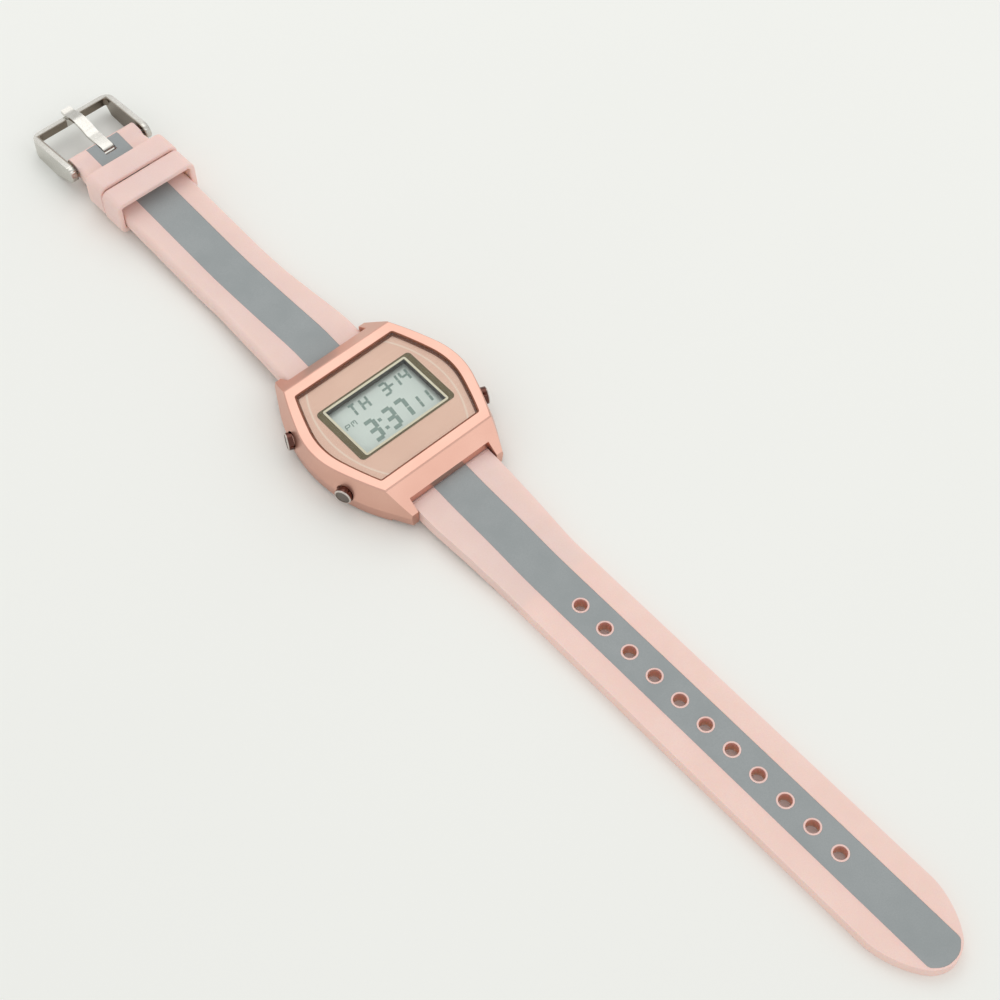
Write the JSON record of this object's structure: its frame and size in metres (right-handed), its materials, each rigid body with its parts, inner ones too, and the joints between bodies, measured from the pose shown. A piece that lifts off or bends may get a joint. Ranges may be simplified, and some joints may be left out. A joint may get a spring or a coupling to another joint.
{
  "type": "digital wristwatch",
  "caption": "Digital wristwatch with a barrel-shaped rose gold case, round pushers and a pink silicone strap with a grey stripe.",
  "frame": {"origin": "middle of the case back, on the surface where the watch lies", "axes": "+X to three o'clock, +Y to twelve o'clock and the buckle, +Z out of the dial"},
  "size_m": [0.0374, 0.2523, 0.0093],
  "materials": {
    "rose_gold": "satin",
    "dial_rose": "brushed",
    "gunmetal": "polished",
    "mineral_glass": "clear",
    "gasket_dark": "matte",
    "seal_rubber": "matte",
    "trim_olive": "gloss",
    "liner_cream": "matte",
    "lcd_glass": "gloss",
    "lcd_dark": "gloss",
    "module_plastic": "matte",
    "guide_acrylic": "gloss",
    "lamp_resin": "gloss",
    "board_green": "matte",
    "chip_resin": "matte",
    "strip_rubber": "matte",
    "gold_contact": "polished",
    "brass_disc": "satin",
    "battery_steel": "satin",
    "steel": "satin",
    "polished_steel": "polished",
    "pink_silicone": "matte",
    "grey_silicone": "matte"
  },
  "bodies": {
    "case": {"back_gasket": "seal_rubber", "back_screws": "steel", "battery": "battery_steel", "battery_clip": "steel", "battery_contact": "gold_contact", "battery_holder": "module_plastic", "buzzer_disc": "brass_disc", "buzzer_spring": "steel", "case_back": "steel", "case_middle": "rose_gold", "chip": "chip_resin", "circuit_board": "board_green", "connector_strips": "strip_rubber", "crystal": "mineral_glass", "crystal_gasket": "gasket_dark", "dial_plate": "dial_rose", "lcd_panel": "lcd_glass", "lcd_segments": "lcd_dark", "led": "lamp_resin", "light_guide": "guide_acrylic", "lug_bar_12_tips": "steel", "lug_bar_12_tube": "steel", "lug_bar_6_tips": "steel", "lug_bar_6_tube": "steel", "module_housing": "module_plastic", "pusher_seal_10": "seal_rubber", "pusher_seal_4": "seal_rubber", "pusher_seal_8": "seal_rubber", "pusher_spring_10": "steel", "pusher_spring_4": "steel", "pusher_spring_8": "steel", "pusher_tube_10": "rose_gold", "pusher_tube_4": "rose_gold", "pusher_tube_8": "rose_gold", "quartz": "steel", "window_liner": "liner_cream", "window_trim": "trim_olive"},
    "long_strap": {"strap_long": "pink_silicone", "stripe_long": "grey_silicone"},
    "short_strap": {"strap_short": "pink_silicone", "stripe_short": "grey_silicone", "buckle_bar_tube": "steel", "buckle_bar_tips": "steel"},
    "free_loop": {"free_loop": "pink_silicone"},
    "frame": {"buckle_frame": "polished_steel"},
    "tongue": {"buckle_tongue": "polished_steel"},
    "pusher_10_body": {"pusher_10": "gunmetal", "pusher_clip_10": "steel"},
    "pusher_8_body": {"pusher_8": "gunmetal", "pusher_clip_8": "steel"},
    "pusher_4_body": {"pusher_4": "gunmetal", "pusher_clip_4": "steel"}
  },
  "joints": [
    {"name": "long_strap_hinge", "type": "hinge", "parent": "case", "child": "long_strap", "pos_m": [0, -0.0186, 0.0029], "axis": [-1, 0, 0], "range_deg": [-85, 15]},
    {"name": "short_strap_hinge", "type": "hinge", "parent": "case", "child": "short_strap", "pos_m": [0, 0.0186, 0.0029], "axis": [1, 0, 0], "range_deg": [-85, 15]},
    {"name": "buckle_frame_hinge", "type": "hinge", "parent": "short_strap", "child": "frame", "pos_m": [0, 0.092, 0.0042], "axis": [1, 0, 0], "range_deg": [-60, 45]},
    {"name": "buckle_tongue_hinge", "type": "hinge", "parent": "frame", "child": "tongue", "pos_m": [0, 0.092, 0.0042], "axis": [1, 0, 0], "range_deg": [0, 40]},
    {"name": "free_loop_slide", "type": "slide", "parent": "short_strap", "child": "free_loop", "axis": [0, -0.9986, -0.0535], "range_m": [0, 0.022]},
    {"name": "pusher_10_press", "type": "slide", "parent": "case", "child": "pusher_10_body", "axis": [0.9171, -0.3987, 0], "range_m": [0, 0.0005], "stiffness_N_per_m": 800, "springref_m": -0.0002, "deforming": ["pusher_spring_10"]},
    {"name": "pusher_8_press", "type": "slide", "parent": "case", "child": "pusher_8_body", "axis": [0.9171, 0.3987, 0], "range_m": [0, 0.0005], "stiffness_N_per_m": 800, "springref_m": -0.0002, "deforming": ["pusher_spring_8"]},
    {"name": "pusher_4_press", "type": "slide", "parent": "case", "child": "pusher_4_body", "axis": [-0.9171, 0.3987, 0], "range_m": [0, 0.0005], "stiffness_N_per_m": 800, "springref_m": -0.0002, "deforming": ["pusher_spring_4"]}
  ]
}
